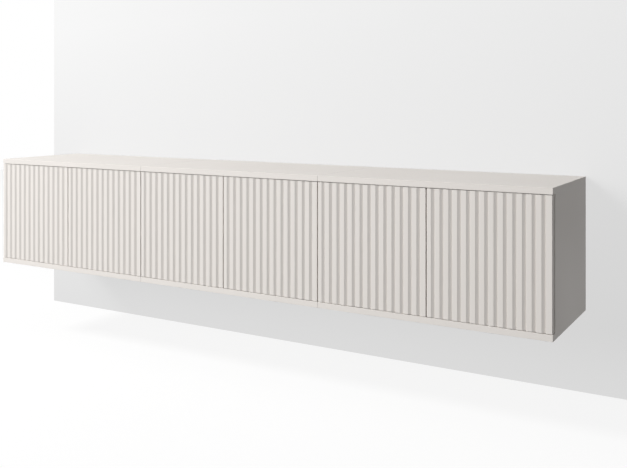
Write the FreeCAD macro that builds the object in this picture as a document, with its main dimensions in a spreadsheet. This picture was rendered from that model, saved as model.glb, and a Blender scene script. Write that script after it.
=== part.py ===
import FreeCAD, Part
import os
from types import SimpleNamespace

import Sketcher

# A low wall-hung television cabinet: three equal modules side by side, each with two
# handleless doors that are grooved from top to bottom.
# The origin lies on the wall, at the middle of the fixing holes of the middle rail.
# X runs to the right, Y into the wall and Z up, so the doors face -Y. All sizes in millimetres.

MODULES = ("left_module", "middle_module", "right_module")
GROOVE_COUNT = 13

SIZES = {
    # Overall box of the cabinet, doors included
    "module_width": 600.0,
    "cabinet_height": 340.0,
    "cabinet_depth": 325.0,
    # Boards of the carcass
    "board_thick": 15.0,
    "board_edge_radius": 0.5,
    "back_thick": 3.0,
    "back_inset": 15.0,
    "back_into_groove": 5.0,
    "back_play": 1.0,
    "back_slot_play": 0.1,
    # Doors
    "door_thick": 18.0,
    "door_side_gap": 1.5,
    "door_end_gap": 1.5,
    "door_push_gap": 2.0,
    "door_edge_radius": 0.4,
    # Each groove slants back to the right and ends in a step, on left and right doors alike
    "groove_left_land": 10.4,
    "groove_right_land": 14.2,
    "groove_width": 9.6,
    "groove_depth": 3.0,
    "groove_step_lean": 0.5,
    "groove_lip_radius": 0.4,
    "groove_root_radius": 0.3,
    # Cup hinges: places are from the hinge edge of the door and from its front plane
    "hinge_from_end": 60.0,
    "cup_radius": 17.4,
    "cup_from_edge": 22.5,
    "cup_depth": 11.5,
    "cup_floor": 0.5,
    "cup_wall": 0.9,
    "cup_bore_play": 0.1,
    "cup_bore_floor_play": 0.5,
    "flange_width": 16.0,
    "flange_reach": 30.0,
    "flange_thick": 1.2,
    "link_pin_inward": 41.0,
    "link_pin_depth": 21.0,
    "link_tip_inward": 9.0,
    "link_tip_depth": 13.0,
    "link_half_thick": 1.0,
    "link_half_width": 3.0,
    "link_boss_radius": 2.0,
    "link_pin_radius": 1.2,
    "link_pin_play": 0.05,
    "arm_ear_thick": 2.0,
    "arm_ear_play": 0.2,
    "arm_ear_margin": 2.3,
    "arm_neck_depth": 2.0,
    "arm_neck_inset": 5.0,
    "arm_shoulder": 9.0,
    "arm_height": 11.5,
    "arm_slope": 12.0,
    "arm_slot_deep": 3.0,
    "plate_thick": 3.0,
    "plate_length": 32.0,
    "plate_half_width": 8.0,
    "plate_wing_width": 10.0,
    "plate_wing_reach": 26.0,
    "plate_peg_radius": 2.5,
    "plate_peg_length": 10.0,
    "plate_peg_spacing": 32.0,
    "plate_line_setback": 37.0,
    # Push latches under the top board
    "latch_from_free_edge": 25.0,
    "latch_width": 14.0,
    "latch_tall": 16.0,
    "latch_length": 62.0,
    "latch_axis_drop": 8.0,
    "latch_door_play": 0.3,
    "latch_press": 3.2,
    "plunger_radius": 3.0,
    "plunger_play": 0.05,
    "plunger_shaft": 52.0,
    "plunger_tip_radius": 4.0,
    "plunger_tip_thick": 3.0,
    # Shelves and their pins
    "shelf_thick": 15.0,
    "shelf_side_play": 1.0,
    "shelf_back_play": 1.0,
    "shelf_front_setback": 45.0,
    "shelf_pin_radius": 2.5,
    "shelf_pin_sunk": 8.0,
    "shelf_pin_proud": 8.0,
    "shelf_pin_seat_play": 0.2,
    "shelf_pin_front": 90.0,
    "shelf_pin_rear": 60.0,
    "shelf_hole_pitch": 32.0,
    "hole_play": 0.1,
    "hole_end_play": 1.0,
    # Carcass joints: cams in the side boards, bolts and dowels in the top and bottom boards
    "joint_front_setback": 60.0,
    "joint_rear_setback": 70.0,
    "joint_dowel_offset": 32.0,
    "cam_radius": 7.4,
    "cam_thick": 11.0,
    "cam_from_end": 24.0,
    "cam_bolt_radius": 3.0,
    "cam_bolt_sunk": 10.0,
    "dowel_radius": 4.0,
    "dowel_sunk": 10.0,
    "dowel_in_side": 20.0,
    # Sleeve screws between neighbouring modules
    "sleeve_radius": 4.0,
    "sleeve_head_radius": 7.5,
    "sleeve_head_thick": 1.5,
    "sleeve_setback": 100.0,
    "sleeve_from_end": 30.0,
    # Wall rails and the brackets that hang on them
    "rail_below_top": 45.0,
    "rail_side_play": 1.0,
    "rail_thick": 2.0,
    "rail_foot": 14.0,
    "rail_crank": 12.0,
    "rail_lip": 22.0,
    "rail_stand_off": 8.0,
    "rail_hole_radius": 3.5,
    "rail_hole_spacing": 400.0,
    "hook_thick": 3.0,
    "hook_play": 0.5,
    "hook_down": 9.0,
    "bracket_foot": 28.0,
    "bracket_width": 30.0,
    # Cable outlets in the backs
    "outlet_radius": 30.0,
    "outlet_rise": 60.0,
    "outlet_ring_play": 0.2,
    "outlet_ring_wall": 3.8,
    "outlet_flange_reach": 3.2,
    "outlet_flange_thick": 1.5,
    # Overrun of the cuts past the faces that they open
    "overrun": 1.0,
}


class Size:
    """A length with its value and the text that works it out from the sheet of sizes."""

    def __init__(self, value, text):
        self.value = value
        self.text = text

    @staticmethod
    def of(item):
        return item if isinstance(item, Size) else Size(float(item), repr(float(item)))

    def __add__(self, other):
        other = Size.of(other)
        return Size(self.value + other.value, f"({self.text} + {other.text})")

    def __sub__(self, other):
        other = Size.of(other)
        return Size(self.value - other.value, f"({self.text} - {other.text})")

    def __mul__(self, factor):
        return Size(self.value * factor, f"({self.text} * {factor})")

    def __truediv__(self, divisor):
        return Size(self.value / divisor, f"({self.text} / {divisor})")

    def __neg__(self):
        return self * -1


doc = FreeCAD.newDocument("wall_cabinet")
sheet = doc.addObject("Spreadsheet::Sheet", "Sizes")
for row, (alias, value) in enumerate(SIZES.items(), start=1):
    sheet.set(f"A{row}", alias)
    sheet.set(f"B{row}", str(value))
    sheet.setAlias(f"B{row}", alias)
doc.recompute()

s = SimpleNamespace(**{alias: Size(value, f"Sizes.{alias}") for alias, value in SIZES.items()})
ZERO = Size.of(0)

# Planes of the cabinet
top_z = s.rail_below_top
middle_z = top_z - s.cabinet_height / 2
bottom_z = top_z - s.cabinet_height
front_y = -s.cabinet_depth

# The space between the top and bottom boards, measured from the middle height
inner_half = s.cabinet_height / 2 - s.board_thick
side_depth = s.cabinet_depth - s.door_thick - s.door_push_gap
back_front = s.back_inset + s.back_thick
slot_front = -back_front - s.back_slot_play
slot_rear = -s.back_inset + s.back_slot_play
back_half = s.module_width / 2 - s.board_thick + s.back_into_groove

# Door sizes
door_width = s.module_width / 2 - s.door_side_gap * 2
door_half = inner_half - s.door_end_gap
hinge_z = door_half - s.hinge_from_end

# Places of the carcass joints, measured along the side boards from the wall
JOINT_PLACES = (side_depth - s.joint_front_setback, s.joint_rear_setback)
DOWEL_PLACES = tuple(place + s.joint_dowel_offset * step for place, step in zip(JOINT_PLACES, (-1, 1)))
PIN_PLACES = (side_depth - s.shelf_pin_front, s.shelf_pin_rear)
SLEEVE_PLACES = (side_depth - s.sleeve_setback, s.sleeve_setback)
PLATE_LINE = side_depth - s.plate_line_setback


def bind(item, name, size):
    """Give a property its size, tied to the sheet."""
    item.setExpression(name, Size.of(size).text)


def place(item, x, y, z, turn=None):
    """Put a piece at its place; turn is a rotation that stays fixed."""
    x, y, z = Size.of(x), Size.of(y), Size.of(z)
    spot = FreeCAD.Vector(x.value, y.value, z.value)
    item.Placement = FreeCAD.Placement(spot, turn or FreeCAD.Rotation())
    for name, size in (("x", x), ("y", y), ("z", z)):
        item.setExpression(f"Placement.Base.{name}", size.text)
    return item


# A half turn about the depth, for what is the same at the right or at the bottom, and rods laid
# along the cabinet, towards +X (1) or -X (-1)
HALF_TURN = FreeCAD.Rotation(FreeCAD.Vector(0, 1, 0), 180)
ALONG_X = {step: FreeCAD.Rotation(FreeCAD.Vector(0, 1, 0), 90 * step) for step in (1, -1)}


def origin_item(body, role):
    """A plane or axis of the body's own origin."""
    return next(item for item in body.Origin.OriginFeatures if item.Role == role)


def new_body(name):
    body = doc.addObject("PartDesign::Body", name)
    body.Label = name
    return body


def sketch_on(body, role, name, offset=None):
    """An empty sketch on a plane of the body, moved along its normal by offset."""
    sketch = body.newObject("Sketcher::SketchObject", name)
    sketch.AttachmentSupport = [(origin_item(body, role), "")]
    sketch.MapMode = "FlatFace"
    if offset is not None:
        bind(sketch, "AttachmentOffset.Base.z", offset)
    return sketch


def fix_point(sketch, item, point, x, y):
    """Dimension a point of the sketch from its origin."""
    for kind, along, size in (("DistanceX", "Vertical", x), ("DistanceY", "Horizontal", y)):
        size = Size.of(size)
        if size.text == ZERO.text:
            sketch.addConstraint(Sketcher.Constraint(along, -1, 1, item, point))
        else:
            number = sketch.addConstraint(Sketcher.Constraint(kind, -1, 1, item, point, size.value))
            sketch.setExpression(f"Constraints[{number}]", size.text)


def add_polygon(sketch, points):
    """Draw a closed outline with straight sides through the points."""
    first = sketch.GeometryCount
    points = [(Size.of(x), Size.of(y)) for x, y in points]
    count = len(points)
    for number, (x, y) in enumerate(points):
        end_x, end_y = points[(number + 1) % count]
        start = FreeCAD.Vector(x.value, y.value, 0)
        end = FreeCAD.Vector(end_x.value, end_y.value, 0)
        sketch.addGeometry(Part.LineSegment(start, end), False)
    for number in range(count):
        follower = first + (number + 1) % count
        sketch.addConstraint(Sketcher.Constraint("Coincident", first + number, 2, follower, 1))
    for number, (x, y) in enumerate(points):
        fix_point(sketch, first + number, 1, x, y)


def add_rectangle(sketch, low_x, low_y, high_x, high_y):
    add_polygon(sketch, [(low_x, low_y), (high_x, low_y), (high_x, high_y), (low_x, high_y)])


def add_circle(sketch, x, y, radius):
    x, y = Size.of(x), Size.of(y)
    centre = FreeCAD.Vector(x.value, y.value, 0)
    item = sketch.addGeometry(Part.Circle(centre, FreeCAD.Vector(0, 0, 1), radius.value), False)
    number = sketch.addConstraint(Sketcher.Constraint("Radius", item, radius.value))
    sketch.setExpression(f"Constraints[{number}]", radius.text)
    fix_point(sketch, item, 3, x, y)


def pad(body, sketch, length, both_ways=False):
    """Add the sketch's area, drawn out along its normal."""
    feature = body.newObject("PartDesign::Pad", f"{sketch.Name}_pad")
    feature.Profile = sketch
    feature.Midplane = both_ways
    bind(feature, "Length", length)
    return feature


def pocket(body, sketch, depth=None, along_normal=False, both_ways=False):
    """Cut the sketch's area out of the body, to a depth or right through."""
    doc.recompute()
    before = body.Shape.Volume
    feature = body.newObject("PartDesign::Pocket", f"{sketch.Name}_pocket")
    feature.Profile = sketch
    feature.Reversed = along_normal
    feature.Midplane = both_ways
    if depth is None:
        feature.Type = "ThroughAll"
    else:
        bind(feature, "Length", depth)
    doc.recompute()
    if feature.Shape.Volume >= before:
        raise RuntimeError(f"{body.Label}: {sketch.Name} cuts nothing")
    return feature


def fillet(body, feature, radius, wanted):
    """Round the edges of the feature that wanted picks out."""
    doc.recompute()
    names = [f"Edge{number}" for number, edge in enumerate(feature.Shape.Edges, start=1) if wanted(edge)]
    if not names:
        raise RuntimeError(f"{body.Label}: no edge to round")
    rounded = body.newObject("PartDesign::Fillet", f"{feature.Name}_round")
    rounded.Base = (feature, names)
    bind(rounded, "Radius", radius)
    return rounded


def runs_along(edge, axis):
    """Whether an edge is straight and runs along the axis."""
    if edge.Curve.TypeId != "Part::GeomLine":
        return False
    return abs(edge.tangentAt(edge.FirstParameter).dot(axis)) > 0.999


def near(value, size):
    """Whether a place is the named one, within a thousandth of a board."""
    return abs(value - Size.of(size).value) < s.board_thick.value / 1000


AXIS_Z = FreeCAD.Vector(0, 0, 1)


def rod(name, radius, length, x, y, z, turn):
    """A plain round rod that starts at the place given."""
    item = doc.addObject("Part::Cylinder", name)
    bind(item, "Radius", radius)
    bind(item, "Height", length)
    return place(item, x, y, z, turn)


def group(name, pieces):
    """One node that holds several like pieces."""
    item = doc.addObject("Part::Compound", name)
    item.Links = pieces
    item.Label = name
    return item


def copy_of(design, name, x, y, z, turn=None):
    """A piece made to a design, at its own place."""
    return place(group(name, [design]), x, y, z, turn)


def wall_board(name):
    """A top board: its outer face at Z 0, its rear edge on the wall."""
    body = new_body(name)
    half = s.module_width / 2
    outline = sketch_on(body, "XY_Plane", "board_outline")
    add_rectangle(outline, -half, front_y, half, ZERO)
    block = pad(body, outline, s.board_thick)
    block.Reversed = True
    fillet(body, block, s.board_edge_radius, lambda edge: near(edge.BoundBox.YMax, front_y))
    slot = sketch_on(body, "YZ_Plane", "back_slot")
    under = -s.board_thick
    slot_top = under + s.back_into_groove + s.back_play
    add_rectangle(slot, slot_front, under - s.overrun, slot_rear, slot_top)
    pocket(body, slot, (back_half + s.back_play) * 2, both_ways=True)
    holes = sketch_on(body, "XY_Plane", "joint_holes", under)
    for side in (1, -1):
        x = (half - s.board_thick / 2) * side
        for depth in JOINT_PLACES:
            add_circle(holes, x, -depth, s.cam_bolt_radius + s.hole_play)
        for depth in DOWEL_PLACES:
            add_circle(holes, x, -depth, s.dowel_radius + s.hole_play)
    pocket(body, holes, s.dowel_sunk + s.hole_end_play, along_normal=True)
    return body


def side_board(name, joined):
    """A side board: outer face at X 0, inner face towards +X, middle height at Z 0."""
    body = new_body(name)
    outline = sketch_on(body, "XY_Plane", "board_outline")
    add_rectangle(outline, ZERO, -side_depth, s.board_thick, ZERO)
    block = pad(body, outline, inner_half * 2, both_ways=True)
    slot = sketch_on(body, "XY_Plane", "back_slot")
    slot_floor = s.board_thick - s.back_into_groove - s.back_play
    add_rectangle(slot, slot_floor, slot_front, s.board_thick + s.overrun, slot_rear)
    pocket(body, slot, (inner_half + s.overrun) * 2, both_ways=True)
    for edge in (1, -1):
        name_end = "upper" if edge == 1 else "lower"
        ends = sketch_on(body, "XY_Plane", f"{name_end}_end_holes", inner_half * edge)
        for depth in JOINT_PLACES:
            add_circle(ends, s.board_thick / 2, -depth, s.cam_bolt_radius + s.hole_play)
        pocket(body, ends, s.cam_from_end, along_normal=edge == -1)
        pegs = sketch_on(body, "XY_Plane", f"{name_end}_dowel_holes", inner_half * edge)
        for depth in DOWEL_PLACES:
            add_circle(pegs, s.board_thick / 2, -depth, s.dowel_radius + s.hole_play)
        pocket(body, pegs, s.dowel_in_side + s.hole_end_play, along_normal=edge == -1)
    cams = sketch_on(body, "YZ_Plane", "cam_seats", s.board_thick)
    pins = sketch_on(body, "YZ_Plane", "pin_holes", s.board_thick)
    plates = sketch_on(body, "YZ_Plane", "plate_holes", s.board_thick)
    for depth in JOINT_PLACES:
        for edge in (1, -1):
            add_circle(cams, -depth, (inner_half - s.cam_from_end) * edge, s.cam_radius + s.hole_play)
    for depth in PIN_PLACES:
        for step in (-2, -1, 0, 1, 2):
            add_circle(pins, -depth, s.shelf_hole_pitch * step, s.shelf_pin_radius + s.hole_play)
    for edge in (1, -1):
        for peg in (1, -1):
            height = hinge_z * edge + s.plate_peg_spacing / 2 * peg
            add_circle(plates, -PLATE_LINE, height, s.plate_peg_radius + s.hole_play)
    pocket(body, cams, s.cam_thick + s.hole_end_play)
    pocket(body, pins, s.shelf_pin_sunk + s.hole_end_play)
    pocket(body, plates, s.plate_peg_length + s.hole_end_play)
    if joined:
        sleeves = sketch_on(body, "YZ_Plane", "sleeve_holes", s.board_thick)
        for depth in SLEEVE_PLACES:
            for edge in (1, -1):
                height = (inner_half - s.sleeve_from_end) * edge
                add_circle(sleeves, -depth, height, s.sleeve_radius + s.hole_play)
        pocket(body, sleeves)
    return body


def on_front(edge):
    """Whether an edge runs up the front plane of the door."""
    return runs_along(edge, AXIS_Z) and near(edge.BoundBox.YMax, ZERO)


def at_side(edge):
    """Whether an upright edge is one of the door's own two, and not a groove's."""
    return near(edge.BoundBox.XMax, ZERO) or near(edge.BoundBox.XMax, door_width)


def grooved_door(name, land, deepest):
    """A door: hinge edge at X 0, front plane at Y 0, middle height at Z 0.
    The first groove starts at land, and its bottom lies deepest further on."""
    body = new_body(name)
    outline = sketch_on(body, "XY_Plane", "door_outline")
    add_rectangle(outline, ZERO, ZERO, door_width, s.door_thick)
    pad(body, outline, door_half * 2, both_ways=True)
    groove = sketch_on(body, "XY_Plane", "groove")
    add_polygon(groove, [
        (land, -s.overrun),
        (land + s.groove_width, -s.overrun),
        (land + s.groove_width, ZERO),
        (land + deepest, s.groove_depth),
        (land, ZERO),
    ])
    cut = pocket(body, groove, (door_half + s.overrun) * 2, both_ways=True)
    row = body.newObject("PartDesign::LinearPattern", "groove_row")
    row.Originals = [cut]
    row.Direction = (origin_item(body, "X_Axis"), [""])
    bind(row, "Length", door_width - s.groove_left_land - s.groove_right_land - s.groove_width)
    row.Occurrences = GROOVE_COUNT
    body.Tip = row
    doc.recompute()
    roots = fillet(body, row, s.groove_root_radius,
                   lambda edge: runs_along(edge, AXIS_Z) and near(edge.BoundBox.YMax, s.groove_depth))
    lips = fillet(body, roots, s.groove_lip_radius,
                  lambda edge: on_front(edge) and not at_side(edge))
    fillet(body, lips, s.door_edge_radius,
           lambda edge: on_front(edge) and at_side(edge))
    bores = sketch_on(body, "XZ_Plane", "cup_bores", -s.door_thick)
    for edge in (1, -1):
        add_circle(bores, s.cup_from_edge, hinge_z * edge, s.cup_radius + s.cup_bore_play)
    pocket(body, bores, s.cup_depth + s.cup_bore_floor_play, along_normal=True)
    return body


def shelf_board(name):
    body = new_body(name)
    half = s.module_width / 2 - s.board_thick - s.shelf_side_play
    front = front_y + s.shelf_front_setback
    outline = sketch_on(body, "XY_Plane", "shelf_outline")
    add_rectangle(outline, -half, front, half, -back_front - s.shelf_back_play)
    block = pad(body, outline, s.shelf_thick)
    fillet(body, block, s.board_edge_radius, lambda edge: near(edge.BoundBox.YMax, front))
    return body


def back_board(name):
    """A thin back with its cable outlet, its rear face at Y 0."""
    body = new_body(name)
    half_height = inner_half + s.back_into_groove
    outline = sketch_on(body, "XZ_Plane", "back_outline")
    add_rectangle(outline, -back_half, -half_height, back_half, half_height)
    add_circle(outline, ZERO, s.outlet_rise - inner_half, s.outlet_radius)
    pad(body, outline, s.back_thick)
    return body


def outlet_ring(name):
    """The ring that lines a cable outlet, with its flange inside the cabinet."""
    body = new_body(name)
    outer = s.outlet_radius - s.outlet_ring_play
    inner = outer - s.outlet_ring_wall
    neck = sketch_on(body, "XZ_Plane", "ring_neck")
    add_circle(neck, ZERO, ZERO, outer)
    add_circle(neck, ZERO, ZERO, inner)
    pad(body, neck, s.back_thick)
    rim = sketch_on(body, "XZ_Plane", "ring_flange", s.back_thick)
    add_circle(rim, ZERO, ZERO, s.outlet_radius + s.outlet_flange_reach)
    add_circle(rim, ZERO, ZERO, inner)
    pad(body, rim, s.outlet_flange_thick)
    return body


def hinge_cup(name):
    """A hinge cup sunk in the door, with the flange that holds it; its height is at Z 0."""
    body = new_body(name)
    mouth = s.door_thick
    cup = sketch_on(body, "XZ_Plane", "cup", -mouth)
    add_circle(cup, s.cup_from_edge, ZERO, s.cup_radius)
    pad(body, cup, s.cup_depth)
    wings = sketch_on(body, "XZ_Plane", "flange", -mouth)
    half = s.flange_width / 2
    add_rectangle(wings, s.cup_from_edge - half, -s.flange_reach, s.cup_from_edge + half, s.flange_reach)
    plate = pad(body, wings, s.flange_thick)
    plate.Reversed = True
    hollow = sketch_on(body, "XZ_Plane", "cup_hollow", -mouth - s.flange_thick)
    add_circle(hollow, s.cup_from_edge, ZERO, s.cup_radius - s.cup_wall)
    pocket(body, hollow, s.cup_depth + s.flange_thick - s.cup_floor, along_normal=True)
    return body


def hinge_link(name):
    """The link that swings from the arm into the cup; its height is at Z 0."""
    body = new_body(name)
    half = s.link_half_thick
    bar = sketch_on(body, "XY_Plane", "link_bar")
    add_polygon(bar, [
        (s.link_tip_inward, s.link_tip_depth - half),
        (s.link_pin_inward, s.link_pin_depth - half),
        (s.link_pin_inward, s.link_pin_depth + half),
        (s.link_tip_inward, s.link_tip_depth + half),
    ])
    pad(body, bar, s.link_half_width * 2, both_ways=True)
    boss = sketch_on(body, "XY_Plane", "link_boss")
    add_circle(boss, s.link_pin_inward, s.link_pin_depth, s.link_boss_radius)
    pad(body, boss, s.link_half_width * 2, both_ways=True)
    bore = sketch_on(body, "XY_Plane", "link_bore")
    add_circle(bore, s.link_pin_inward, s.link_pin_depth, s.link_pin_radius + s.link_pin_play)
    pocket(body, bore, (s.link_half_width + s.overrun) * 2, both_ways=True)
    return body


# The inner face of a side board and the face of a mounting plate, from the hinge edge of the door
wall_face = s.board_thick - s.door_side_gap
plate_face = wall_face + s.plate_thick
side_front = s.door_thick + s.door_push_gap
plate_line = side_front + s.plate_line_setback


def hinge_arm(name):
    """The arm on its mounting plate, with the ears and pin that carry the link."""
    body = new_body(name)
    slot_half = s.link_half_width + s.arm_ear_play
    half = slot_half + s.arm_ear_thick
    neck = s.link_pin_depth + s.arm_neck_depth
    tip = s.link_pin_inward + s.arm_ear_margin
    rear = plate_line + s.plate_length / 2
    outline = sketch_on(body, "XY_Plane", "arm_outline")
    add_polygon(outline, [
        (plate_face, rear),
        (plate_face, neck),
        (s.link_pin_inward - s.arm_neck_inset, neck),
        (s.link_pin_inward - s.link_boss_radius, s.link_pin_depth - s.arm_ear_margin),
        (s.link_pin_inward + s.link_boss_radius, s.link_pin_depth - s.arm_ear_margin),
        (tip, s.link_pin_depth),
        (tip, s.link_pin_depth + s.arm_shoulder),
        (plate_face + s.arm_height, s.link_pin_depth + s.arm_shoulder + s.arm_slope),
        (plate_face + s.arm_height, rear),
    ])
    pad(body, outline, half * 2, both_ways=True)
    slot = sketch_on(body, "XY_Plane", "ear_slot")
    low = s.link_pin_depth - s.arm_ear_margin - s.overrun
    high = s.link_pin_depth + s.arm_slot_deep
    add_rectangle(slot, s.link_pin_inward - s.arm_neck_inset, low, tip + s.overrun, high)
    pocket(body, slot, slot_half * 2, both_ways=True)
    pin = sketch_on(body, "XY_Plane", "arm_pin")
    add_circle(pin, s.link_pin_inward, s.link_pin_depth, s.link_pin_radius)
    pad(body, pin, half * 2, both_ways=True)
    return body


def mounting_plate(name):
    """The cross-shaped plate pegged to the side board, under the arm."""
    body = new_body(name)
    base = sketch_on(body, "YZ_Plane", "plate_base", wall_face)
    half = s.plate_length / 2
    add_rectangle(base, plate_line - half, -s.plate_half_width, plate_line + half, s.plate_half_width)
    pad(body, base, s.plate_thick)
    wings = sketch_on(body, "YZ_Plane", "plate_wings", wall_face)
    wing = s.plate_wing_width / 2
    add_rectangle(wings, plate_line - wing, -s.plate_wing_reach, plate_line + wing, s.plate_wing_reach)
    pad(body, wings, s.plate_thick)
    pegs = sketch_on(body, "YZ_Plane", "plate_pegs", wall_face)
    for side in (1, -1):
        add_circle(pegs, plate_line, s.plate_peg_spacing / 2 * side, s.plate_peg_radius)
    sunk = pad(body, pegs, s.plate_peg_length)
    sunk.Reversed = True
    return body


# The push latches, from the hinge edge of the door, its front plane and the middle height
latch_x = door_width - s.latch_from_free_edge
latch_z = inner_half - s.latch_axis_drop
tip_front = s.door_thick + s.latch_door_play
tip_rear = tip_front + s.plunger_tip_thick
latch_front = tip_rear + s.latch_press


def latch_housing(name):
    """The body of a push latch, hung under the top board."""
    body = new_body(name)
    half = s.latch_width / 2
    outline = sketch_on(body, "XZ_Plane", "housing", -latch_front)
    add_rectangle(outline, latch_x - half, inner_half - s.latch_tall, latch_x + half, inner_half)
    block = pad(body, outline, s.latch_length)
    block.Reversed = True
    bore = sketch_on(body, "XZ_Plane", "housing_bore", -latch_front)
    add_circle(bore, latch_x, latch_z, s.plunger_radius + s.plunger_play)
    pocket(body, bore, s.plunger_shaft + s.hole_end_play)
    return body


def latch_plunger(name):
    """The sprung plunger that meets the back of the door."""
    body = new_body(name)
    shaft = sketch_on(body, "XZ_Plane", "shaft", -tip_rear)
    add_circle(shaft, latch_x, latch_z, s.plunger_radius)
    stem = pad(body, shaft, s.plunger_shaft)
    stem.Reversed = True
    tip = sketch_on(body, "XZ_Plane", "tip", -tip_front)
    add_circle(tip, latch_x, latch_z, s.plunger_tip_radius)
    head = pad(body, tip, s.plunger_tip_thick)
    head.Reversed = True
    return body


# The rail's profile, and the underside of the hook that rests on its lip
rail_half = s.module_width / 2 - s.board_thick - s.rail_side_play


def wall_rail(name):
    """A cranked steel rail fixed flat on the wall, its holes at Z 0."""
    body = new_body(name)
    profile = sketch_on(body, "YZ_Plane", "rail_profile")
    add_polygon(profile, [
        (ZERO, -s.rail_foot),
        (ZERO, s.rail_crank),
        (s.rail_thick - s.rail_stand_off, s.rail_crank),
        (s.rail_thick - s.rail_stand_off, s.rail_lip),
        (-s.rail_stand_off, s.rail_lip),
        (-s.rail_stand_off, s.rail_crank - s.rail_thick),
        (-s.rail_thick, s.rail_crank - s.rail_thick),
        (-s.rail_thick, -s.rail_foot),
    ])
    pad(body, profile, rail_half * 2, both_ways=True)
    holes = sketch_on(body, "XZ_Plane", "rail_holes")
    for side in (1, -1):
        add_circle(holes, s.rail_hole_spacing / 2 * side, ZERO, s.rail_hole_radius)
    pocket(body, holes, s.rail_thick * 2 + s.overrun, both_ways=True)
    return body


def hanger_bracket(name):
    """A bracket on the side board whose hook hangs on the rail's lip; it starts at X 0."""
    body = new_body(name)
    front = slot_rear + s.back_slot_play
    rear = -s.rail_stand_off - s.hook_play
    tongue_front = s.rail_thick - s.rail_stand_off + s.hook_play
    tongue_rear = tongue_front + s.hook_thick
    profile = sketch_on(body, "YZ_Plane", "bracket_profile")
    add_polygon(profile, [
        (front, -s.bracket_foot),
        (rear, -s.bracket_foot),
        (rear, s.rail_lip),
        (tongue_front, s.rail_lip),
        (tongue_front, s.rail_lip - s.hook_down),
        (tongue_rear, s.rail_lip - s.hook_down),
        (tongue_rear, s.rail_lip + s.hook_thick),
        (front, s.rail_lip + s.hook_thick),
    ])
    pad(body, profile, s.bracket_width)
    return body


def sleeve_screw(name):
    """A sleeve screw through two side boards, a flat head at each end; the joint is at X 0."""
    body = new_body(name)
    reach = s.board_thick
    profile = sketch_on(body, "XZ_Plane", "sleeve_profile")
    add_polygon(profile, [
        (-reach - s.sleeve_head_thick, ZERO),
        (-reach - s.sleeve_head_thick, s.sleeve_head_radius),
        (-reach, s.sleeve_head_radius),
        (-reach, s.sleeve_radius),
        (reach, s.sleeve_radius),
        (reach, s.sleeve_head_radius),
        (reach + s.sleeve_head_thick, s.sleeve_head_radius),
        (reach + s.sleeve_head_thick, ZERO),
    ])
    turned = body.newObject("PartDesign::Revolution", "sleeve")
    turned.Profile = profile
    turned.ReferenceAxis = (origin_item(body, "X_Axis"), [""])
    turned.Angle = 360
    return body


# The designs, each drawn once: pieces are copies of them
board = wall_board("board_design")
end_side = side_board("end_side_design", joined=False)
joined_side = side_board("joined_side_design", joined=True)
doors = {
    "left": grooved_door("left_door_design", s.groove_left_land, s.groove_width - s.groove_step_lean),
    "right": grooved_door("right_door_design", s.groove_right_land, s.groove_step_lean),
}
shelf = shelf_board("shelf_design")
back = back_board("back_design")
ring = outlet_ring("ring_design")
cup = hinge_cup("cup_design")
link = hinge_link("link_design")
arm = hinge_arm("arm_design")
plate = mounting_plate("plate_design")
housing = latch_housing("housing_design")
plunger = latch_plunger("plunger_design")
rail = wall_rail("rail_design")
bracket = hanger_bracket("bracket_design")
sleeve = sleeve_screw("sleeve_design")

nodes = []
cams = []
bolts = []
dowels = []
pins = []
plates = []
brackets = []
rings = []
rails = []
sleeves = []


def carcass_joints(tag, inward, edge, end):
    """The cams, bolts and dowels at one end of a side board: end is 1 at the top, -1 at the bottom."""
    middle_x = edge + s.board_thick / 2 * inward
    cam_x = edge + (s.board_thick - s.cam_thick) * inward
    end_z = middle_z + inner_half * end
    cam_z = middle_z + (inner_half - s.cam_from_end) * end
    into_side = HALF_TURN if end == 1 else FreeCAD.Rotation()
    bolt_length = s.cam_bolt_sunk + s.cam_from_end - s.cam_radius - s.hole_play
    dowel_length = s.dowel_sunk + s.dowel_in_side
    bolt_z = end_z + s.cam_bolt_sunk * end
    dowel_z = end_z + s.dowel_sunk * end
    for spot, depth in zip(("front", "rear"), JOINT_PLACES):
        name = f"{tag}_{spot}_cam"
        cams.append(rod(name, s.cam_radius, s.cam_thick, cam_x, -depth, cam_z, ALONG_X[inward]))
        name = f"{tag}_{spot}_bolt"
        bolts.append(rod(name, s.cam_bolt_radius, bolt_length, middle_x, -depth, bolt_z, into_side))
    for spot, depth in zip(("front", "rear"), DOWEL_PLACES):
        name = f"{tag}_{spot}_dowel"
        dowels.append(rod(name, s.dowel_radius, dowel_length, middle_x, -depth, dowel_z, into_side))


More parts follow.
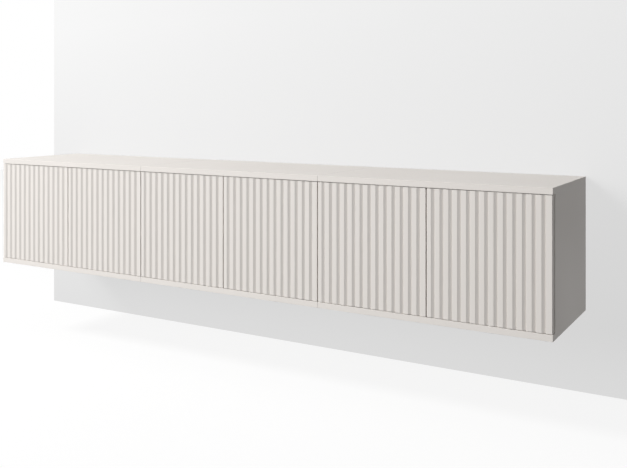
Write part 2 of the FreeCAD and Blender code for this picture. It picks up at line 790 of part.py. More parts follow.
def side_with_door(module, hand, edge, inward, joined):
    """One half of a module: its side board, its door and all that hangs between them."""
    turn = None if hand == "left" else HALF_TURN
    side = joined_side if joined else end_side
    nodes.append(copy_of(side, f"{module}_{hand}_side", edge, ZERO, middle_z, turn))
    door_edge = edge + s.door_side_gap * inward
    door_name = f"{module}_{hand}_door"
    nodes.append(copy_of(doors[hand], door_name, door_edge, front_y, middle_z, turn))

    cups = []
    links = []
    arms = []
    for level, height in (("upper", middle_z + hinge_z), ("lower", middle_z - hinge_z)):
        name = f"{door_name}_{level}"
        cups.append(copy_of(cup, f"{name}_cup", door_edge, front_y, height, turn))
        links.append(copy_of(link, f"{name}_link", door_edge, front_y, height, turn))
        arms.append(copy_of(arm, f"{name}_arm", door_edge, front_y, height, turn))
        plates.append(copy_of(plate, f"{name}_plate", door_edge, front_y, height, turn))
    nodes.append(group(f"{door_name}_hinge_cups", cups))
    nodes.append(group(f"{door_name}_hinge_links", links))

    # The latches hang at the top, so the right-hand ones are shifted, not turned over
    shift = door_edge if hand == "left" else door_edge - latch_x * 2
    nodes.append(copy_of(plunger, f"{door_name}_latch_plunger", shift, front_y, middle_z))
    latch = copy_of(housing, f"{door_name}_housing", shift, front_y, middle_z)

    # The brackets' hooks point down on both sides, so each starts at its own side board
    face = edge + s.board_thick * inward
    start = face if hand == "left" else face - s.bracket_width
    brackets.append(copy_of(bracket, f"{module}_{hand}_bracket", start, ZERO, ZERO))

    for level, end in (("upper", 1), ("lower", -1)):
        carcass_joints(f"{module}_{hand}_{level}", inward, edge, end)
    pin_length = s.shelf_pin_sunk + s.shelf_pin_proud
    pin_x = face - s.shelf_pin_sunk * inward
    for spot, depth in zip(("front", "rear"), PIN_PLACES):
        name = f"{module}_{hand}_{spot}_pin"
        pins.append(rod(name, s.shelf_pin_radius, pin_length, pin_x, -depth, middle_z, ALONG_X[inward]))
    return arms, latch


# The modules stand side by side about the middle one
for number, module in enumerate(MODULES):
    centre = s.module_width * (number - (len(MODULES) - 1) / 2)
    left = centre - s.module_width / 2
    right = centre + s.module_width / 2
    shelf_z = middle_z + s.shelf_pin_radius + s.shelf_pin_seat_play
    outlet_z = middle_z + s.outlet_rise - inner_half

    nodes.append(copy_of(board, f"{module}_top_panel", centre, ZERO, top_z))
    nodes.append(copy_of(board, f"{module}_bottom_panel", centre, ZERO, bottom_z, HALF_TURN))
    nodes.append(copy_of(shelf, f"{module}_shelf", centre, ZERO, shelf_z))
    nodes.append(copy_of(back, f"{module}_back_panel", centre, -s.back_inset, middle_z))
    rings.append(copy_of(ring, f"{module}_outlet_ring", centre, -s.back_inset, outlet_z))
    rails.append(copy_of(rail, f"{module}_rail", centre, ZERO, ZERO))

    left_arms, left_latch = side_with_door(module, "left", left, 1, joined=number > 0)
    last = number == len(MODULES) - 1
    right_arms, right_latch = side_with_door(module, "right", right, -1, joined=not last)
    nodes.append(group(f"{module}_hinge_arms", left_arms + right_arms))
    nodes.append(group(f"{module}_latch_housings", [left_latch, right_latch]))

    if number > 0:
        for spot, depth in zip(("front", "rear"), SLEEVE_PLACES):
            for level, end in (("upper", 1), ("lower", -1)):
                height = middle_z + (inner_half - s.sleeve_from_end) * end
                sleeves.append(copy_of(sleeve, f"{module}_{spot}_{level}_sleeve", left, -depth, height))

nodes.append(group("wall_rails", rails))
nodes.append(group("hanger_brackets", brackets))
nodes.append(group("hinge_mounting_plates", plates))
nodes.append(group("shelf_pins", pins))
nodes.append(group("cam_locks", cams))
nodes.append(group("cam_bolts", bolts))
nodes.append(group("wooden_dowels", dowels))
nodes.append(group("module_sleeve_screws", sleeves))
nodes.append(group("cable_outlet_rings", rings))

doc.recompute()
for item in doc.Objects:
    if "Invalid" in item.State or "Error" in item.State:
        raise RuntimeError(f"{item.Label} failed: {item.State}")
for node in nodes:
    if node.Shape.isNull() or not node.Shape.isValid():
        raise RuntimeError(f"{node.Label} has no valid shape")

os.makedirs("parts", exist_ok=True)
for node in nodes:
    node.Shape.exportStep(f"parts/{node.Label}.step")
print(f"{len(nodes)} nodes written")
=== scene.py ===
import math

import bmesh
import bpy
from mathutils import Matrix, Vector


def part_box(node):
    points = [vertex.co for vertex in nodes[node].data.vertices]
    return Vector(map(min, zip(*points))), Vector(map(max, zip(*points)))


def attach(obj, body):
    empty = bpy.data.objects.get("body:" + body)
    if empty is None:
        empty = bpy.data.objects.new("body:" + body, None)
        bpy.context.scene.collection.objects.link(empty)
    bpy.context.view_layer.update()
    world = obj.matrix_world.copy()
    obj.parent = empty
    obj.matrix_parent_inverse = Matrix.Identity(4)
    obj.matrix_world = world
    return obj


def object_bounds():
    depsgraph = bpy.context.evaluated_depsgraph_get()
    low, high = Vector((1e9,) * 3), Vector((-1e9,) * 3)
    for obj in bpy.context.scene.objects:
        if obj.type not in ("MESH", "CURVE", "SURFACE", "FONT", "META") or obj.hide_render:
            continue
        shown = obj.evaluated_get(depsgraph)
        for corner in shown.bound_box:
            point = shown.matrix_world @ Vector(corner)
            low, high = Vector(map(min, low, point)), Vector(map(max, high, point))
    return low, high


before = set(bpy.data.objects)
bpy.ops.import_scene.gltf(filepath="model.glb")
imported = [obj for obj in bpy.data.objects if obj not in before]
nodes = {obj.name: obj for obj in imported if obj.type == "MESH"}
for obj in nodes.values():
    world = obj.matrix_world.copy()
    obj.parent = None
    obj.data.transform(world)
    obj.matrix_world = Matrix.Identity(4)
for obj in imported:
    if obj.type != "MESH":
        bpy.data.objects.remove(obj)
cad_low, cad_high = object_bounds()
scene = bpy.context.scene
scene.view_settings.view_transform = "Standard"

MODULES = ("left_module", "middle_module", "right_module")
HANDS = ("left", "right")

# The camera of the photograph: its place in metres, its tilt and turn in degrees, its sensor and
# lens in millimetres, and its shift as a share of the picture's width
CAMERA_PLACE = (1.3697, -2.1679, 0.2384)
CAMERA_TILT = 90.0
CAMERA_TURN = 30.406
CAMERA_SENSOR = 36.0
CAMERA_LENS = 47.597
CAMERA_SHIFT = -0.2132

# The room in metres: the floor's height, the wall's left end and top, and how far both run
FLOOR_Z = -0.505
WALL_LEFT = -1.02
WALL_TOP = 3.0
ROOM_REACH = 6.0

# Lamps: place, target and size in metres, and power in watts
KEY = ((-6.1, -2.3, 4.6), (0.0, -0.3, -0.1), 2.0, 466.0)
FILL = ((-2.4, -5.2, 1.7), (0.0, -0.3, -0.1), 3.0, 243.0)
REAR = ((0.0, 5.0, -1.25), (0.0, 0.0, -0.125), 2.0, 115.0)

# The world's strength as light on the object, and the strength at which a written colour shows
WORLD_STRENGTH = 0.215
SHOWN_STRENGTH = 1.0

# Colours as they are written, from 0 to FULL
FULL = 255
WHITE = (255, 255, 255)
BOARD_COLOUR = (226, 221, 216)
SHELF_COLOUR = (222, 217, 209)
BACK_COLOUR = (214, 209, 201)
STEEL_COLOUR = (176, 178, 181)
PLASTIC_COLOUR = (206, 205, 201)
TIP_COLOUR = (96, 97, 98)
WOOD_COLOUR = (205, 170, 122)
WALL_COLOUR = (240, 240, 240)
FLOOR_COLOUR = (250, 250, 250)

# The wall and the floor glow in one tone at the left end of GLOW_ENDS and another at the right, and
# in a third at the lower end of LOW_GLOW_ENDS. The ends are in metres, along X and along Z. On the
# wall these tones are painted light and shade: lighter at the left, where the lamps are, and darker
# to the right and towards the floor, where shade falls below the cabinet. The floor's tones are an even
# white.
WALL_PAINTED_LIGHT_TONES = ((245, 245, 245), (231, 231, 231))
WALL_PAINTED_LOW_SHADE = (222, 222, 222)
FLOOR_GLOWS = (WHITE, WHITE)
FLOOR_LOW_GLOW = WHITE
GLOW_ENDS = (-1.0, 1.5)
LOW_GLOW_ENDS = (-0.5, 0.5)

# How much of the wall and the floor is lit by the lamps and shows the object's shadow
WALL_SHADOW_SHARE = 0.15
FLOOR_SHADOW_SHARE = 0.15

# The grooves in the doors: their depth in metres, the share of it at which the shade painted into
# them is full, the tone of that painted shade, and the Y of a normal below which a face counts as
# facing the front
GROOVE_DEPTH = 0.003
GROOVE_ONSET = 0.06
GROOVE_SHADE_TONE = 0.952
FRONT_FACING = -0.5

# The joints between the modules: how far the line of shade painted along them reaches in metres, and
# its tone
JOINT_REACH = 0.0008
JOINT_SHADE_TONE = 0.76

# Where the small screws sit on the hardware, in metres: above and below the middle, out from the
# board, back from an end, in from an edge, and the bracket's rear face
CUP_SCREW_RISE = 0.024
ARM_SCREW_REACH = 0.0115
ARM_SCREW_SETBACKS = (0.007, 0.022)
PLATE_SCREW_RISE = 0.016
LATCH_SCREW_SETBACK = 0.009
BRACKET_SCREW_INSET = 0.007
BRACKET_REAR_Y = -0.0085

# The radius and height in metres of each screw head and dial, and the collar's outer radius,
# inner radius and height
SCREW = (0.0032, 0.0010)
ARM_SCREW = (0.0030, 0.0007)
LATCH_SCREW = (0.0026, 0.0007)
CAM_DIAL = (0.0060, 0.0004)
SLEEVE_DIAL = (0.0048, 0.0005)
COLLAR = (0.0050, 0.0034, 0.0008)

# The outline of a screw head and of the recess in it, as shares of their reach and the height
HEAD_OUTLINE = ((1.0, 0.0), (1.0, 0.35), (0.9, 0.8), (0.7, 1.0))
RECESS_OUTLINE = ((1.0, 1.0), (0.8, 0.4))

# The recess is a cross: its reach as a share of the head's radius, and half the width of its arms
# as a share of that reach
CROSS_REACH = 0.58
CROSS_HALF_WIDTH = 0.28

# The bevel of a collar: where it starts, as a share of the height, and its radius at the top, as a
# share of the outer one
BEVEL_START = 0.5
BEVEL_RADIUS = 0.92

# Directions that the small forms face
REARWARD = (0.0, 1.0, 0.0)
FORWARD = (0.0, -1.0, 0.0)
DOWNWARD = (0.0, 0.0, -1.0)
RIGHTWARD = (1.0, 0.0, 0.0)
LEFTWARD = (-1.0, 0.0, 0.0)

# Corners nearer than this are one corner, in metres
WELD = 0.00001

# The range that most of a noise's values lie in
NOISE_LOW = 0.35
NOISE_HIGH = 0.65

# The sockets of a Mix node that carry colours
MIX_FIRST = 6
MIX_SECOND = 7
MIX_RESULT = 2


def linear(colour):
    """A written colour as the shader takes it, by the sRGB formula, and opaque."""
    def one(value):
        share = value / FULL
        return share / 12.92 if share <= 0.04045 else ((share + 0.055) / 1.055) ** 2.4
    return tuple(one(value) for value in colour) + (1.0,)


def tone(colour, factor):
    """The written colour, lighter or darker by a factor, as the shader takes it."""
    return linear(min(FULL, value * factor) for value in colour)


class Tree:
    """A small helper for building the nodes of a material or the world."""

    def __init__(self, block, output):
        block.use_nodes = True
        self.block = block
        self.nodes = block.node_tree.nodes
        self.links = block.node_tree.links
        self.nodes.clear()
        self.output = self.nodes.new(output)

    def add(self, kind, **values):
        """A new node with some of its values set."""
        node = self.nodes.new(kind)
        for name, value in values.items():
            setattr(node, name, value)
        return node

    def put(self, value, socket):
        """Set a socket to a number or a colour, or link another node's output to it."""
        if isinstance(value, (float, tuple)):
            socket.default_value = value
        else:
            self.links.new(value, socket)

    def place(self):
        """Where a point lies in the object's own frame."""
        return self.add("ShaderNodeTexCoord").outputs["Object"]

    def stretched(self, vector, scale):
        """A vector with each axis scaled by its own factor."""
        node = self.add("ShaderNodeMapping")
        self.put(scale, node.inputs["Scale"])
        self.put(vector, node.inputs["Vector"])
        return node.outputs["Vector"]

    def noise(self, vector, scale, detail):
        """A cloudy value of one scale."""
        node = self.add("ShaderNodeTexNoise")
        self.put(scale, node.inputs["Scale"])
        self.put(detail, node.inputs["Detail"])
        self.put(vector, node.inputs["Vector"])
        return node.outputs["Fac"]

    def ramp(self, value, low, high, from_low=NOISE_LOW, from_high=NOISE_HIGH):
        """Carry a value from one range to another."""
        node = self.add("ShaderNodeMapRange")
        self.put(from_low, node.inputs["From Min"])
        self.put(from_high, node.inputs["From Max"])
        self.put(low, node.inputs["To Min"])
        self.put(high, node.inputs["To Max"])
        self.put(value, node.inputs["Value"])
        return node.outputs["Result"]

    def part_of(self, vector, axis):
        """One coordinate of a vector."""
        node = self.add("ShaderNodeSeparateXYZ")
        self.put(vector, node.inputs["Vector"])
        return node.outputs[axis]

    def math(self, operation, first, second=0.0):
        """One value reckoned with another, or with a number."""
        node = self.add("ShaderNodeMath", operation=operation)
        self.put(first, node.inputs[0])
        self.put(second, node.inputs[1])
        return node.outputs[0]

    def mix(self, factor, first, second):
        """A colour between two, by a factor."""
        node = self.add("ShaderNodeMix", data_type="RGBA")
        self.put(factor, node.inputs[0])
        self.put(first, node.inputs[MIX_FIRST])
        self.put(second, node.inputs[MIX_SECOND])
        return node.outputs[MIX_RESULT]

    def tones(self, factor, colour, darker, lighter):
        """The written colour between a darker and a lighter tone, by a factor."""
        return self.mix(factor, tone(colour, darker), tone(colour, lighter))

    def bump(self, height, strength, distance):
        """A normal that follows a small relief."""
        node = self.add("ShaderNodeBump")
        self.put(strength, node.inputs["Strength"])
        self.put(distance, node.inputs["Distance"])
        self.put(height, node.inputs["Height"])
        return node.outputs["Normal"]

    def principled(self, colour, normal, roughness, metallic=0.0, specular=0.5):
        """A surface with a colour, a relief and a sheen."""
        node = self.add("ShaderNodeBsdfPrincipled")
        self.put(colour, node.inputs["Base Color"])
        self.put(normal, node.inputs["Normal"])
        self.put(roughness, node.inputs["Roughness"])
        self.put(metallic, node.inputs["Metallic"])
        self.put(specular, node.inputs["Specular IOR Level"])
        return node.outputs["BSDF"]

    def diffuse(self, colour):
        """A matt surface of one colour."""
        node = self.add("ShaderNodeBsdfDiffuse")
        self.put(colour, node.inputs["Color"])
        return node.outputs["BSDF"]

    def glow(self, kind, colour, strength):
        """Light of one colour and strength, from a surface or from the world."""
        node = self.add(kind)
        self.put(colour, node.inputs["Color"])
        self.put(strength, node.inputs["Strength"])
        return node.outputs[0]

    def blend(self, factor, first, second):
        """A shader between two, by a factor."""
        node = self.add("ShaderNodeMixShader")
        self.put(factor, node.inputs[0])
        self.put(first, node.inputs[1])
        self.put(second, node.inputs[2])
        return node.outputs[0]

    def finish(self, shader):
        """Put a shader on the output, and give back the material or the world."""
        self.put(shader, self.output.inputs["Surface"])
        return self.block


def material_tree(name):
    """A new material with nothing but its output."""
    return Tree(bpy.data.materials.new(name), "ShaderNodeOutputMaterial")


def groove_shade_mask(tree):
    """Where shade is painted into a door's grooves: 0 on the lands of its front, 1 down in its grooves.
    """
    land = cad_low[1]
    full = land + GROOVE_DEPTH * GROOVE_ONSET
    depth = tree.ramp(tree.part_of(tree.place(), "Y"), 0.0, 1.0, land, full)
    normal = tree.add("ShaderNodeTexCoord").outputs["Normal"]
    front = tree.math("LESS_THAN", tree.part_of(normal, "Y"), FRONT_FACING)
    return tree.math("MULTIPLY", depth, front)


def joint_shade_mask(tree):
    """Where shade is painted along the joints between the modules: 1 at a joint, 0 from JOINT_REACH
    away.
    """
    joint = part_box("middle_module_top_panel")[1].x
    outward = tree.math("ABSOLUTE", tree.part_of(tree.place(), "X"))
    distance = tree.math("ABSOLUTE", tree.math("SUBTRACT", outward, joint))
    return tree.ramp(distance, 1.0, 0.0, 0.0, JOINT_REACH)


# In the values of the materials a noise has its scale and detail, and a relief its strength and its
# height in metres. Tones are factors of the written colour, and a share is how far a tone comes in.

# Matt lacquer, with the range of pointiness over which an edge takes its own tone
LACQUER_CLOUDS = (3.2, 3.0)
LACQUER_SPECKS = (420.0, 2.0)
LACQUER_PEEL = (1500.0, 2.0)
LACQUER_RELIEF = (0.12, 0.0002)
LACQUER_TONES = (0.992, 1.008)
LACQUER_SPECK_TONE = 0.97
LACQUER_SPECK_SHARE = 0.16
LACQUER_EDGES = (0.52, 0.60)
LACQUER_EDGE_TONE = 1.03
LACQUER_ROUGHNESS = 0.62
LACQUER_ROUGHNESS_SWING = 0.04
LACQUER_SPECULAR = 0.35


def lacquer(name, colour, edge_tone=LACQUER_EDGE_TONE, roughness=LACQUER_ROUGHNESS,
            groove_shade=False, joint_shade=False):
    """Matt lacquer on a board: faint clouding, a fine spray texture and lighter edges.
    Shade is painted into the lacquer down in the grooves of a door and where two boards meet."""
    tree = material_tree(name)
    place = tree.place()
    clouds = tree.noise(place, *LACQUER_CLOUDS)
    specks = tree.noise(place, *LACQUER_SPECKS)
    peel = tree.noise(place, *LACQUER_PEEL)
    tint = tree.tones(tree.ramp(clouds, 0.0, 1.0), colour, *LACQUER_TONES)
    speckled = tree.ramp(specks, 0.0, LACQUER_SPECK_SHARE)
    tint = tree.mix(speckled, tint, tone(colour, LACQUER_SPECK_TONE))
    pointiness = tree.add("ShaderNodeNewGeometry").outputs["Pointiness"]
    edge = tree.ramp(pointiness, 0.0, 1.0, *LACQUER_EDGES)
    tint = tree.mix(edge, tint, tone(colour, edge_tone))
    # Painted shade down in the grooves of a door
    if groove_shade:
        tint = tree.mix(groove_shade_mask(tree), tint, tone(colour, GROOVE_SHADE_TONE))
    # Painted shade along the joints between the modules
    if joint_shade:
        tint = tree.mix(joint_shade_mask(tree), tint, tone(colour, JOINT_SHADE_TONE))
    low = roughness - LACQUER_ROUGHNESS_SWING
    high = roughness + LACQUER_ROUGHNESS_SWING
    rough = tree.ramp(clouds, low, high)
    normal = tree.bump(peel, *LACQUER_RELIEF)
    return tree.finish(tree.principled(tint, normal, rough, specular=LACQUER_SPECULAR))


# Plated steel, with the stretch of its grain along each axis, and its least and most roughness
STEEL_STRETCH = (20.0, 900.0, 900.0)
STEEL_GRAIN = (1.0, 3.0)
STEEL_CLOUDS = (60.0, 3.0)
STEEL_RELIEF = (0.10, 0.0001)
STEEL_TONES = (0.9, 1.08)
STEEL_ROUGHNESS = (0.26, 0.44)


def steel(name, colour):
    """Plated steel, drawn along its length, with a soft sheen."""
    tree = material_tree(name)
    place = tree.place()
    grain = tree.noise(tree.stretched(place, STEEL_STRETCH), *STEEL_GRAIN)
    clouds = tree.noise(place, *STEEL_CLOUDS)
    tint = tree.tones(clouds, colour, *STEEL_TONES)
    rough = tree.ramp(grain, *STEEL_ROUGHNESS)
    normal = tree.bump(grain, *STEEL_RELIEF)
    return tree.finish(tree.principled(tint, normal, rough, metallic=1.0))


# Moulded plastic
PLASTIC_GRAIN = (2400.0, 2.0)
PLASTIC_CLOUDS = (40.0, 2.0)
PLASTIC_RELIEF = (0.2, 0.0001)
PLASTIC_TONES = (0.96, 1.03)
PLASTIC_ROUGHNESS = 0.48
PLASTIC_ROUGHNESS_SWING = 0.05


def plastic(name, colour, roughness=PLASTIC_ROUGHNESS):
    """Moulded plastic with a fine eroded texture."""
    tree = material_tree(name)
    place = tree.place()
    grain = tree.noise(place, *PLASTIC_GRAIN)
    clouds = tree.noise(place, *PLASTIC_CLOUDS)
    tint = tree.tones(clouds, colour, *PLASTIC_TONES)
    low = roughness - PLASTIC_ROUGHNESS_SWING
    high = roughness + PLASTIC_ROUGHNESS_SWING
    rough = tree.ramp(clouds, low, high)
    normal = tree.bump(grain, *PLASTIC_RELIEF)
    return tree.finish(tree.principled(tint, normal, rough))


# Turned beech, with the stretch of its grain along each axis, and the range of noise that is fleck
BEECH_STRETCH = (900.0, 900.0, 90.0)
BEECH_GRAIN = (1.0, 4.0)
BEECH_FLECKS = (3.0, 1.0)
BEECH_RELIEF = (0.3, 0.0002)
BEECH_TONES = (0.86, 1.08)
BEECH_ROUGHNESS = 0.7
BEECH_FLECK_RANGE = (0.62, 0.74)
BEECH_FLECK_SHARE = 0.5
BEECH_FLECK_TONE = 0.6


def beech(name, colour):
    """Turned beech, with its grain and short dark flecks along the rod."""
    tree = material_tree(name)
    place = tree.stretched(tree.place(), BEECH_STRETCH)
    grain = tree.noise(place, *BEECH_GRAIN)
    flecks = tree.noise(place, *BEECH_FLECKS)
    tint = tree.tones(grain, colour, *BEECH_TONES)
    flecked = tree.ramp(flecks, 0.0, BEECH_FLECK_SHARE, *BEECH_FLECK_RANGE)
    tint = tree.mix(flecked, tint, tone(colour, BEECH_FLECK_TONE))
    normal = tree.bump(grain, *BEECH_RELIEF)
    return tree.finish(tree.principled(tint, normal, BEECH_ROUGHNESS))


# What sets single finishes apart: edges of one tone with the board, and other roughnesses
PLAIN_EDGE_TONE = 1.0
BACK_ROUGHNESS = 0.7
TIP_ROUGHNESS = 0.6

board_finish = lacquer("board_lacquer", BOARD_COLOUR)
# The top and bottom panels take painted shade along the joints between the modules
panel_finish = lacquer("panel_lacquer", BOARD_COLOUR, joint_shade=True)
# The doors take painted shade down in their grooves
door_finish = lacquer("door_lacquer", BOARD_COLOUR, edge_tone=PLAIN_EDGE_TONE, groove_shade=True)
shelf_finish = lacquer("shelf_lacquer", SHELF_COLOUR)
back_finish = lacquer("back_lacquer", BACK_COLOUR, edge_tone=PLAIN_EDGE_TONE, roughness=BACK_ROUGHNESS)
steel_finish = steel("plated_steel", STEEL_COLOUR)
housing_finish = plastic("latch_plastic", PLASTIC_COLOUR)
tip_finish = plastic("tip_plastic", TIP_COLOUR, roughness=TIP_ROUGHNESS)
dowel_finish = beech("beech", WOOD_COLOUR)


def dress(material, *names):
    """Give CAD nodes their material."""
    for name in names:
        mesh = nodes[name].data
        mesh.materials.clear()
        mesh.materials.append(material)


def dress_nodes():
    """Give every CAD node the finish of what it is made of."""
    for module in MODULES:
        dress(panel_finish, f"{module}_top_panel", f"{module}_bottom_panel")
        dress(board_finish, f"{module}_left_side", f"{module}_right_side")
        dress(shelf_finish, f"{module}_shelf")
        dress(back_finish, f"{module}_back_panel")
        dress(steel_finish, f"{module}_hinge_arms")
        dress(housing_finish, f"{module}_latch_housings")
        for hand in HANDS:
            door = f"{module}_{hand}_door"
            dress(door_finish, door)
            dress(steel_finish, f"{door}_hinge_cups", f"{door}_hinge_links")
            dress(tip_finish, f"{door}_latch_plunger")
    dress(steel_finish, "wall_rails", "hanger_brackets", "hinge_mounting_plates", "shelf_pins")
    dress(steel_finish, "cam_locks", "cam_bolts", "module_sleeve_screws")
    dress(dowel_finish, "wooden_dowels")
    dress(housing_finish, "cable_outlet_rings")


def new_object(name, data):
    """A new object in the scene, with its mesh, lamp or camera."""
    item = bpy.data.objects.new(name, data)
    scene.collection.objects.link(item)
    return item


def solids_of(name):
    """The lowest and highest corners of each separate solid in a CAD node, from left to right."""
    build = bmesh.new()
    build.from_mesh(nodes[name].data)
    bmesh.ops.remove_doubles(build, verts=build.verts[:], dist=WELD)
    waiting = set(build.verts)
    boxes = []
    while waiting:
        found = [waiting.pop()]
        for vert in found:
            linked = waiting.intersection(edge.other_vert(vert) for edge in vert.link_edges)
            waiting -= linked
            found.extend(linked)
        low = Vector([min(vert.co[axis] for vert in found) for axis in range(3)])
        high = Vector([max(vert.co[axis] for vert in found) for axis in range(3)])
        boxes.append((low, high))
    build.free()
    return sorted(boxes, key=lambda box: tuple(box[0]))


# The angles of a ring's points: in every quarter they meet the corners of a cross
LEAN = math.atan(CROSS_HALF_WIDTH)
QUARTER = math.pi / 2
STEPS = (0.0, LEAN, QUARTER / 2, QUARTER - LEAN)
ANGLES = [QUARTER * turn + step for turn in range(4) for step in STEPS]

# The least that a sine or cosine is taken for when it divides
NEAR_ZERO = 0.00001


def circle(radius):
    """Radii of a round outline at the angles."""
    return [radius] * len(ANGLES)


def cross(reach):
    """Radii of a cross-shaped outline at the angles."""
    half = reach * CROSS_HALF_WIDTH
    radii = []
    for angle in ANGLES:
        along = max(abs(math.cos(angle)), NEAR_ZERO)
        across = max(abs(math.sin(angle)), NEAR_ZERO)
        radii.append(max(min(reach / along, half / across), min(half / along, reach / across)))
    return radii


def add_turned(build, place, facing, rows, closed=False):
    """Add a form of rings round an axis: each row has its radii and its height along facing.
    A closed form joins its last ring to its first, and an open one has flat ends."""
    facing = Vector(facing)
    side = facing.orthogonal().normalized()
    up = facing.cross(side)
    rings = []
    for radii, height in rows:
        ring = []
        for angle, radius in zip(ANGLES, radii):
            outward = side * math.cos(angle) + up * math.sin(angle)
            ring.append(build.verts.new(place + facing * height + outward * radius))
        rings.append(ring)
    pairs = list(zip(rings, rings[1:]))
    if closed:
        pairs.append((rings[-1], rings[0]))
    for lower, upper in pairs:
        for number in range(len(ANGLES)):
            after = (number + 1) % len(ANGLES)
            build.faces.new((lower[number], lower[after], upper[after], upper[number]))
    if not closed:
        build.faces.new(rings[0][::-1])
        build.faces.new(rings[-1])


def add_screw(build, place, facing, size):
    """A low domed head with a cross recess, seated at place."""
    radius, height = size
    reach = radius * CROSS_REACH
    rows = [(circle(radius * share), height * rise) for share, rise in HEAD_OUTLINE]
    rows += [(cross(reach * share), height * rise) for share, rise in RECESS_OUTLINE]
    add_turned(build, place, facing, rows)


def add_collar(build, place, facing, size):
    """A ring with a bevelled rim, open in the middle."""
    outer, inner, height = size
    add_turned(build, place, facing, [
        (circle(inner), 0.0),
        (circle(outer), 0.0),
        (circle(outer), height * BEVEL_START),
        (circle(outer * BEVEL_RADIUS), height),
        (circle(inner), height),
    ], closed=True)


def hardware(name, body, material, add_form, spots, size):
    """One piece that holds the same small form at each spot and rides on a body."""
    build = bmesh.new()
    for place, facing in spots:
        add_form(build, Vector(place), facing, size)
    bmesh.ops.recalc_face_normals(build, faces=build.faces[:])
    mesh = bpy.data.meshes.new(name)
    build.to_mesh(mesh)
    build.free()
    mesh.materials.append(material)
    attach(new_object(name, mesh), body)


def module_middle(x):
    """The X of the middle of the module that a place along X lies in."""
    for module in MODULES:
        low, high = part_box(f"{module}_top_panel")
        if low.x <= x <= high.x:
            return (low.x + high.x) / 2


def side_of(low, high):
    """For a solid on a side board: the direction into the module, and its X at the board and inside."""
    middle = (low.x + high.x) / 2
    if middle < module_middle(middle):
        return RIGHTWARD, low.x, high.x
    return LEFTWARD, high.x, low.x


def cup_screws(door):
    """Two screws in the flange of each hinge cup."""
    spots = []
    for low, high in solids_of(f"{door}_hinge_cups"):
        middle = (low + high) / 2
        for rise in (CUP_SCREW_RISE, -CUP_SCREW_RISE):
            spots.append(((middle.x, high.y, middle.z + rise), REARWARD))
    hardware(f"{door}_cup_screws", door, steel_finish, add_screw, spots, SCREW)


def arm_screws(module):
    """The side adjuster and the fixing screw on each hinge arm."""
    spots = []
    for low, high in solids_of(f"{module}_hinge_arms"):
        inward, board, _ = side_of(low, high)
        x = board + ARM_SCREW_REACH * inward[0]
        for setback in ARM_SCREW_SETBACKS:
            spots.append(((x, high.y - setback, (low.z + high.z) / 2), inward))
    hardware(f"{module}_arm_screws", "carcass", steel_finish, add_screw, spots, ARM_SCREW)


def latch_fittings(module):
    """Two screws under each push latch and the collar in its mouth."""
    screws = []
    collars = []
    for hand, (low, high) in zip(HANDS, solids_of(f"{module}_latch_housings")):
        middle = (low + high) / 2
        for y in (low.y + LATCH_SCREW_SETBACK, high.y - LATCH_SCREW_SETBACK):
            screws.append(((middle.x, y, low.z), DOWNWARD))
        tip_low, tip_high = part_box(f"{module}_{hand}_door_latch_plunger")
        axis = (tip_low + tip_high) / 2
        collars.append(((axis.x, low.y, axis.z), FORWARD))
    hardware(f"{module}_latch_screws", "carcass", steel_finish, add_screw, screws, LATCH_SCREW)
    hardware(f"{module}_latch_collars", "carcass", tip_finish, add_collar, collars, COLLAR)


def plate_screws():
    """Two screws in the wings of each mounting plate."""
    spots = []
    for low, high in solids_of("hinge_mounting_plates"):
        middle = (low + high) / 2
        inward, _, face = side_of(low, high)
        for rise in (PLATE_SCREW_RISE, -PLATE_SCREW_RISE):
            spots.append(((face, middle.y, middle.z + rise), inward))
    hardware("mounting_plate_screws", "carcass", steel_finish, add_screw, spots, SCREW)


def cam_dials():
    """The turning face of each cam, with its cross recess."""
    spots = []
    for low, high in solids_of("cam_locks"):
        middle = (low + high) / 2
        inward, _, face = side_of(low, high)
        spots.append(((face, middle.y, middle.z), inward))
    hardware("cam_dials", "carcass", steel_finish, add_screw, spots, CAM_DIAL)


def sleeve_dials():
    """The cross recess at both ends of each sleeve screw."""
    spots = []
    for low, high in solids_of("module_sleeve_screws"):
        middle = (low + high) / 2
        spots.append(((high.x, middle.y, middle.z), RIGHTWARD))
        spots.append(((low.x, middle.y, middle.z), LEFTWARD))
    hardware("sleeve_dials", "carcass", steel_finish, add_screw, spots, SLEEVE_DIAL)


def bracket_screws():
    """Two screws low on the rear of each hanging bracket."""
    spots = []
    for low, high in solids_of("hanger_brackets"):
        for x in (low.x + BRACKET_SCREW_INSET, high.x - BRACKET_SCREW_INSET):
            spots.append(((x, BRACKET_REAR_Y, low.z + BRACKET_SCREW_INSET), REARWARD))
    hardware("bracket_screws", "carcass", steel_finish, add_screw, spots, SCREW)


def build_hardware():
    """The small forms that the solids leave out."""
    for module in MODULES:
        arm_screws(module)
        latch_fittings(module)
        for hand in HANDS:
            cup_screws(f"{module}_{hand}_door")
    plate_screws()
    cam_dials()
    sleeve_dials()
    bracket_screws()


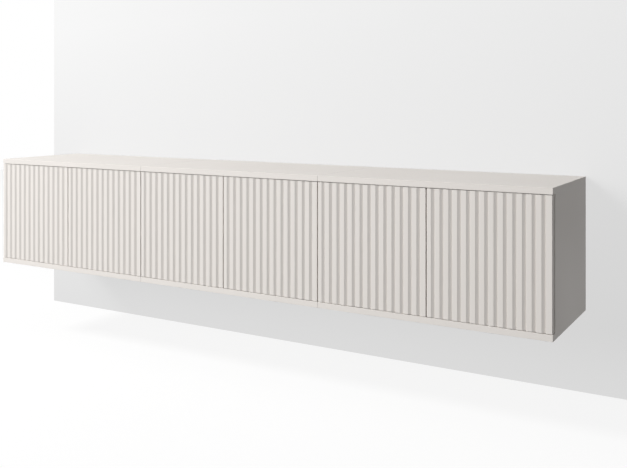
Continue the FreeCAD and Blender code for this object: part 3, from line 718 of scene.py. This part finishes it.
def stage_material(name, colour, glows, low_glow, shadow_share):
    """A pale surface that glows by itself, without lighting the object, and shows its shadows. Its glow
    runs from one tone at the left to another at the right and to a third low down; on the wall this is
    painted light and shade, on the floor an even white.
    Its back is clear, so that the object can be seen from behind and below."""
    tree = material_tree(name)
    place = tree.place()
    # On the wall this gradient is painted light and shade
    along = tree.ramp(tree.part_of(place, "X"), 0.0, 1.0, *GLOW_ENDS)
    upward = tree.ramp(tree.part_of(place, "Z"), 0.0, 1.0, *LOW_GLOW_ENDS)
    left_glow, right_glow = glows
    high_glow = tree.mix(along, linear(left_glow), linear(right_glow))
    glow_colour = tree.mix(upward, linear(low_glow), high_glow)
    glow = tree.glow("ShaderNodeEmission", glow_colour, SHOWN_STRENGTH)
    front = tree.blend(shadow_share, glow, tree.diffuse(linear(colour)))
    clear = tree.add("ShaderNodeBsdfTransparent").outputs["BSDF"]
    behind = tree.add("ShaderNodeNewGeometry").outputs["Backfacing"]
    return tree.finish(tree.blend(behind, front, clear))


def add_stage(name, corners, material):
    """A flat surface of the room, seen by the camera and kept from lighting the object."""
    build = bmesh.new()
    build.faces.new([build.verts.new(corner) for corner in corners])
    mesh = bpy.data.meshes.new(name)
    build.to_mesh(mesh)
    build.free()
    mesh.materials.append(material)
    item = new_object(name, mesh)
    item.visible_diffuse = False
    item.visible_shadow = False
    item.visible_glossy = False
    item.visible_transmission = False


def build_room():
    """The floor, and the wall that the cabinet hangs on."""
    floor_white = stage_material(
        "floor_white", FLOOR_COLOUR, FLOOR_GLOWS, FLOOR_LOW_GLOW, FLOOR_SHADOW_SHARE)
    add_stage("floor", [
        (-ROOM_REACH, -ROOM_REACH, FLOOR_Z),
        (ROOM_REACH, -ROOM_REACH, FLOOR_Z),
        (ROOM_REACH, ROOM_REACH, FLOOR_Z),
        (-ROOM_REACH, ROOM_REACH, FLOOR_Z),
    ], floor_white)
    wall_paint = stage_material(
        "wall_paint", WALL_COLOUR, WALL_PAINTED_LIGHT_TONES, WALL_PAINTED_LOW_SHADE, WALL_SHADOW_SHARE)
    add_stage("wall", [
        (WALL_LEFT, 0.0, FLOOR_Z),
        (ROOM_REACH, 0.0, FLOOR_Z),
        (ROOM_REACH, 0.0, WALL_TOP),
        (WALL_LEFT, 0.0, WALL_TOP),
    ], wall_paint)


def area_lamp(name, place, target, size, power):
    """A round lamp of one size at a place, turned to a target."""
    lamp = bpy.data.lights.new(name, "AREA")
    lamp.shape = "DISK"
    lamp.size = size
    lamp.energy = power
    item = new_object(name, lamp)
    item.location = place
    item.rotation_euler = (Vector(target) - Vector(place)).to_track_quat("-Z", "Y").to_euler()


def build_lamps():
    """One lamp from the far left and above, a larger one from the front, and a weak one low at
    the rear that lights only what faces the wall."""
    area_lamp("key", *KEY)
    area_lamp("fill", *FILL)
    area_lamp("rear", *REAR)


def build_world():
    """Even light on the object, and white where the camera, a sheen or glass shows the world."""
    tree = Tree(bpy.data.worlds.new("studio"), "ShaderNodeOutputWorld")
    rays = tree.add("ShaderNodeLightPath").outputs
    shown = rays["Is Camera Ray"]
    for kind in ("Is Glossy Ray", "Is Transmission Ray"):
        shown = tree.math("MAXIMUM", shown, rays[kind])
    light = tree.glow("ShaderNodeBackground", linear(WHITE), WORLD_STRENGTH)
    white = tree.glow("ShaderNodeBackground", linear(WHITE), SHOWN_STRENGTH)
    scene.world = tree.finish(tree.blend(shown, light, white))


def build_camera():
    """The camera of the photograph."""
    camera = bpy.data.cameras.new("camera")
    camera.sensor_width = CAMERA_SENSOR
    camera.lens = CAMERA_LENS
    camera.shift_y = CAMERA_SHIFT
    item = new_object("camera", camera)
    item.location = CAMERA_PLACE
    item.rotation_euler = (math.radians(CAMERA_TILT), 0.0, math.radians(CAMERA_TURN))
    scene.camera = item


dress_nodes()
build_hardware()
build_room()
build_lamps()
build_world()
build_camera()
